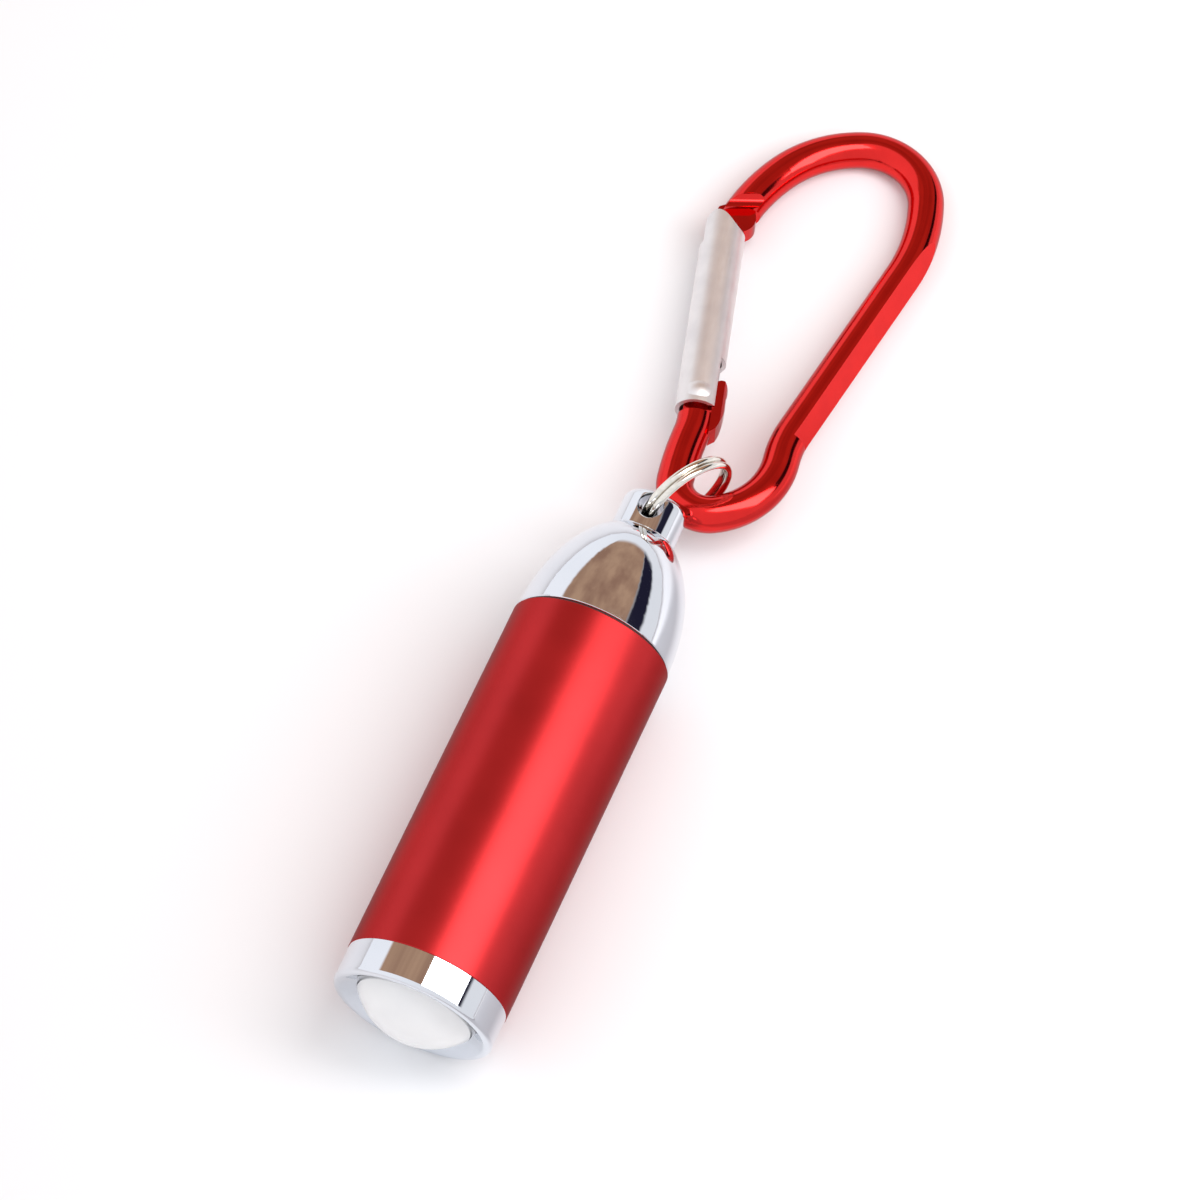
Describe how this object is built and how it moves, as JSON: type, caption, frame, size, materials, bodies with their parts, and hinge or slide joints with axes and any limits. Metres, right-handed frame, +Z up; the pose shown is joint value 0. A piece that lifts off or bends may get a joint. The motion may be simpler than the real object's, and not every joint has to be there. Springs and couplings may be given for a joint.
{
  "type": "keychain flashlight",
  "caption": "Small round torch with a bulging lens and a domed tail, hung by a split ring from a gourd-shaped snap hook.",
  "frame": {"origin": "on the torch axis, halfway along the sleeve", "axes": "+Y along the torch towards the tail, ring and hook, so the lens faces -Y; +Z up as it lies on a table"},
  "size_m": [0.0248, 0.1235, 0.018],
  "materials": {
    "red_anodised": "satin red anodised",
    "hook_red": "bright red anodised",
    "bright_plate": "bright chrome plate",
    "bare_aluminium": "fine brushed",
    "ring_steel": "nickel plated wire",
    "spring_steel": "drawn wire",
    "lens_clear": "polished clear",
    "black_rubber": "matte",
    "moulded_black": "moulded",
    "liner_plastic": "moulded acetal",
    "film": "thin film",
    "cell_can": "nickel plated",
    "brass_strip": "rolled",
    "board": "solder mask",
    "led_epoxy": "clear epoxy",
    "resistor_body": "ceramic chip",
    "reflector_plate": "metallised"
  },
  "bodies": {
    "sleeve": {"body_sleeve": "red_anodised", "sleeve_liner": "liner_plastic", "insulator_band": "film", "head_ring": "bright_plate", "focus_lens": "lens_clear", "lens_seal": "black_rubber", "lens_retainer": "moulded_black"},
    "light_module": {"battery_carrier": "moulded_black", "button_cell_1": "cell_can", "button_cell_2": "cell_can", "button_cell_3": "cell_can", "contact_strip": "brass_strip", "positive_contact": "brass_strip", "circuit_board": "board", "led": "led_epoxy", "resistor": "resistor_body", "reflector_cup": "reflector_plate", "switch_leaf": "brass_strip"},
    "gasket": {"cap_gasket": "black_rubber"},
    "cap": {"tail_cap": "bright_plate", "negative_plate": "brass_strip", "tail_spring": "spring_steel"},
    "ring": {"split_ring": "ring_steel"},
    "hook": {"carabiner_frame": "hook_red"},
    "gate": {"carabiner_gate": "bare_aluminium", "gate_rivet": "bare_aluminium", "gate_spring": "spring_steel"},
    "plunger": {"gate_plunger": "spring_steel"}
  },
  "joints": [
    {"name": "module_slide", "type": "slide", "parent": "sleeve", "child": "light_module", "axis": [0, 1, 0], "range_m": [0, 0.008]},
    {"name": "cap_lift", "type": "slide", "parent": "light_module", "child": "gasket", "axis": [0, 1, 0], "range_m": [0, 0.0046]},
    {"name": "cap_turn", "type": "hinge", "parent": "gasket", "child": "cap", "pos_m": [0, 0, 0], "axis": [0, 1, 0], "range_deg": [0, 1080]},
    {"name": "ring_swing", "type": "hinge", "parent": "cap", "child": "ring", "pos_m": [0, 0.0374, 0], "axis": [0, 0, 1], "range_deg": [-8, 45]},
    {"name": "carabiner_lift", "type": "hinge", "parent": "ring", "child": "hook", "pos_m": [0.00242, 0.04143, 0], "axis": [0.8572, -0.515, 0], "range_deg": [0, 130]},
    {"name": "gate_swing", "type": "hinge", "parent": "hook", "child": "gate", "pos_m": [-0.0017, 0.05477, -0.00376], "axis": [0, -0.0813, -0.9967], "range_deg": [0, 25], "stiffness_Nm_per_rad": 0.012, "springref_deg": -11.46, "deforming": ["gate_spring"]},
    {"name": "plunger_slide", "type": "slide", "parent": "gate", "child": "plunger", "axis": [-0.2689, 0.96, -0.0783], "range_m": [0, 0.0014]}
  ],
  "couplings": [
    {"joint": "cap_lift", "follows": "cap_turn", "m_per_rad": 0.00023873},
    {"joint": "plunger_slide", "follows": "gate_swing", "m_per_rad": 0.0031}
  ]
}
